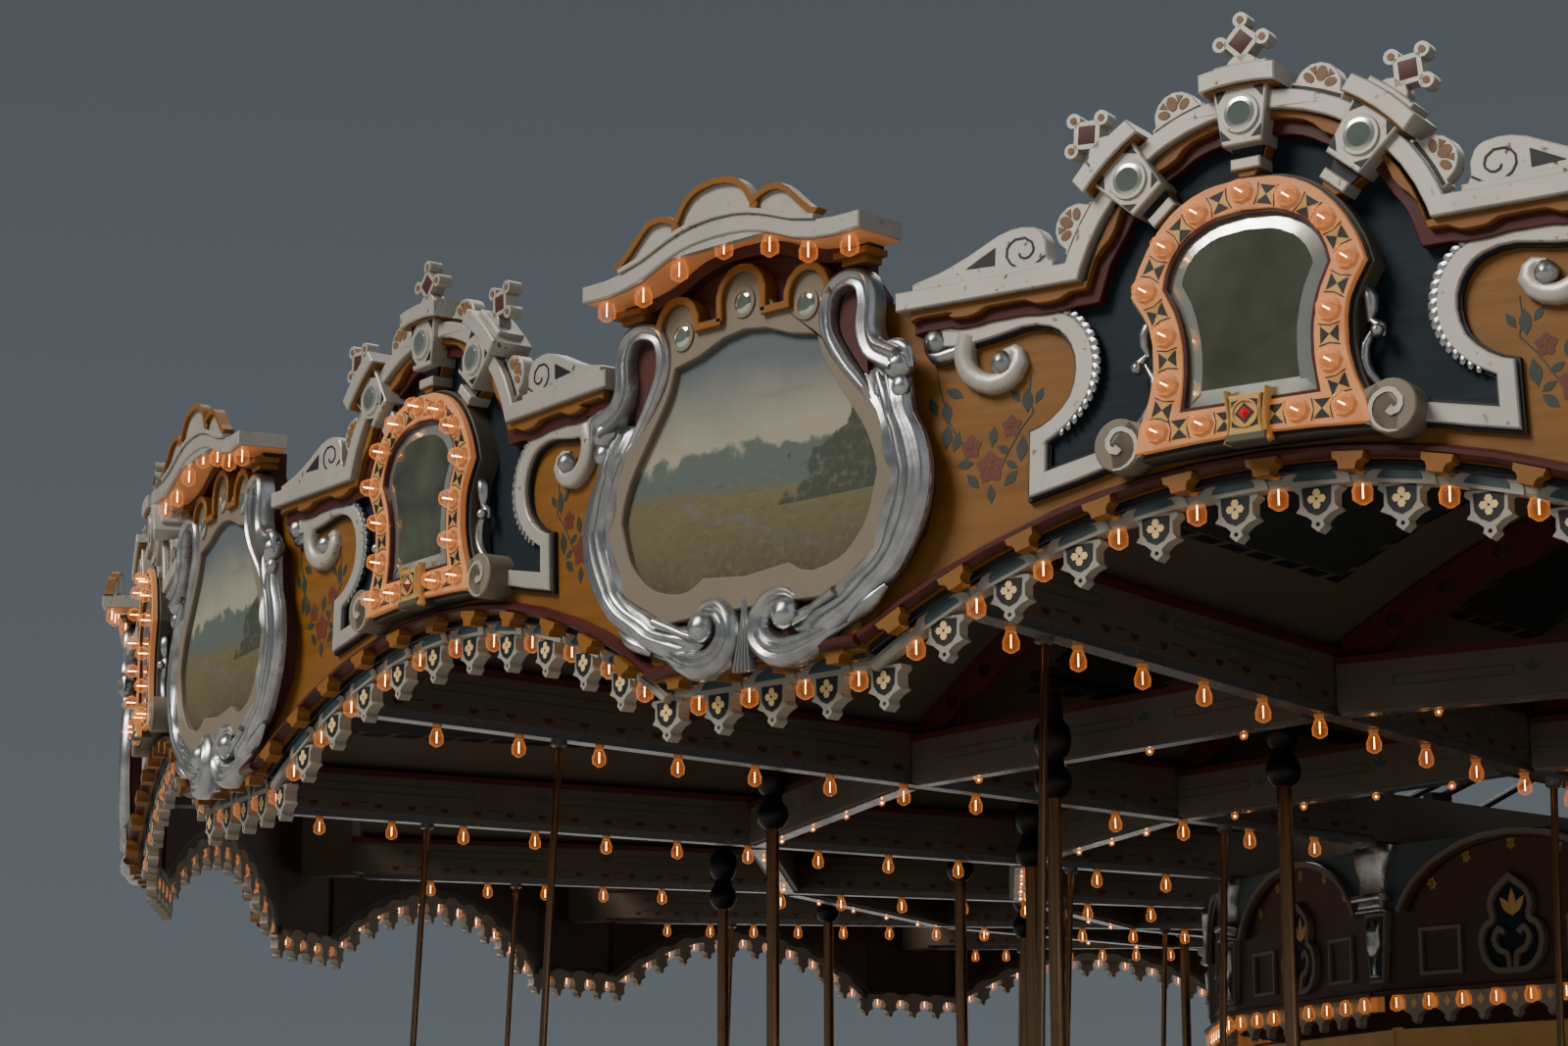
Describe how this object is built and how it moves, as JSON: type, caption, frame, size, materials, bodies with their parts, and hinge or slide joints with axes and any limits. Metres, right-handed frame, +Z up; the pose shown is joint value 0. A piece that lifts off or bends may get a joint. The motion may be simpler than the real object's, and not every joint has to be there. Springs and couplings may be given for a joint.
{
  "type": "fairground carousel",
  "caption": "Fairground roundabout with arched, carved and mirrored rounding boards, lamp strips, a vaulted ceiling, overhead cranks and horses on poles over a turning platform.",
  "frame": {"origin": "middle of the base, on the ground, on the turning axis", "axes": "+Z up along the turning axis, +X through the middle of one shield panel"},
  "size_m": [14.568, 14.5, 4.4903],
  "materials": {
    "timber": "weathered timber",
    "cream_paint": "semi-gloss cream",
    "centre_panels": "painted dark teal, gloss varnish",
    "iron": "black painted iron",
    "taupe_paint": "painted timber, satin",
    "ceiling_paint": "painted ply, satin",
    "carved_boards": "ochre wood grain with carved silver, maroon and teal",
    "deck_timber": "planked, varnished",
    "chariot_paint": "maroon enamel",
    "horse_white": "gloss enamel on carved horse",
    "horse_brown": "gloss enamel on carved horse",
    "silver_leaf": "silver leaf over carving",
    "maroon_paint": "satin maroon",
    "mirror_glass": "bevelled mirror",
    "brass": "polished",
    "lamp_glass": "clear bulb"
  },
  "bodies": {
    "centre": {"ground_frame": "timber", "centre_mast": "cream_paint", "drum": "centre_panels", "ring_gear": "iron"},
    "rotor": {"sweep_frame_1": "taupe_paint", "sweep_frame_2": "taupe_paint", "sweep_frame_3": "taupe_paint", "sweep_frame_4": "taupe_paint", "sweep_frame_5": "taupe_paint", "sweep_frame_6": "taupe_paint", "mast_head": "iron", "ceiling_1": "ceiling_paint", "ceiling_2": "ceiling_paint", "ceiling_3": "ceiling_paint", "rounding_boards_1": "carved_boards", "rounding_boards_2": "carved_boards", "rounding_boards_3": "carved_boards", "rounding_boards_4": "carved_boards", "rounding_boards_5": "carved_boards", "rounding_boards_6": "carved_boards", "inner_cornice_1": "carved_boards", "inner_cornice_2": "carved_boards", "inner_cornice_3": "carved_boards", "deck_1": "deck_timber", "deck_2": "deck_timber", "deck_3": "deck_timber", "deck_4": "deck_timber", "deck_5": "deck_timber", "deck_6": "deck_timber", "chariot_1": "chariot_paint", "chariot_2": "chariot_paint"},
    "jumpers_a": {"jumper_middle_3": "horse_white", "jumper_middle_5": "horse_white", "jumper_middle_7": "horse_white", "jumper_middle_9": "horse_white", "jumper_middle_13": "horse_white", "jumper_middle_15": "horse_white", "jumper_middle_17": "horse_white", "jumper_inner_4": "horse_brown", "jumper_inner_6": "horse_brown", "jumper_inner_8": "horse_brown", "jumper_inner_12": "horse_brown", "jumper_inner_14": "horse_brown", "jumper_inner_16": "horse_brown", "jumper_inner_18": "horse_brown"},
    "jumpers_b": {"jumper_middle_4": "horse_white", "jumper_middle_6": "horse_white", "jumper_middle_8": "horse_white", "jumper_middle_12": "horse_white", "jumper_middle_14": "horse_white", "jumper_middle_16": "horse_white", "jumper_middle_18": "horse_white", "jumper_inner_3": "horse_brown", "jumper_inner_5": "horse_brown", "jumper_inner_7": "horse_brown", "jumper_inner_9": "horse_brown", "jumper_inner_13": "horse_brown", "jumper_inner_15": "horse_brown", "jumper_inner_17": "horse_brown"}
  },
  "joints": [
    {"name": "rotor_turn", "type": "hinge", "parent": "centre", "child": "rotor", "pos_m": [0, 0, 0], "axis": [0, 0, 1], "continuous": true},
    {"name": "jumpers_a_slide", "type": "slide", "parent": "rotor", "child": "jumpers_a", "axis": [0, 0, 1], "range_m": [-0.2, 0.1]},
    {"name": "jumpers_b_slide", "type": "slide", "parent": "rotor", "child": "jumpers_b", "axis": [0, 0, 1], "range_m": [-0.1, 0.2]}
  ],
  "couplings": [
    {"joint": "jumpers_b_slide", "follows": "jumpers_a_slide", "ratio": -1}
  ]
}
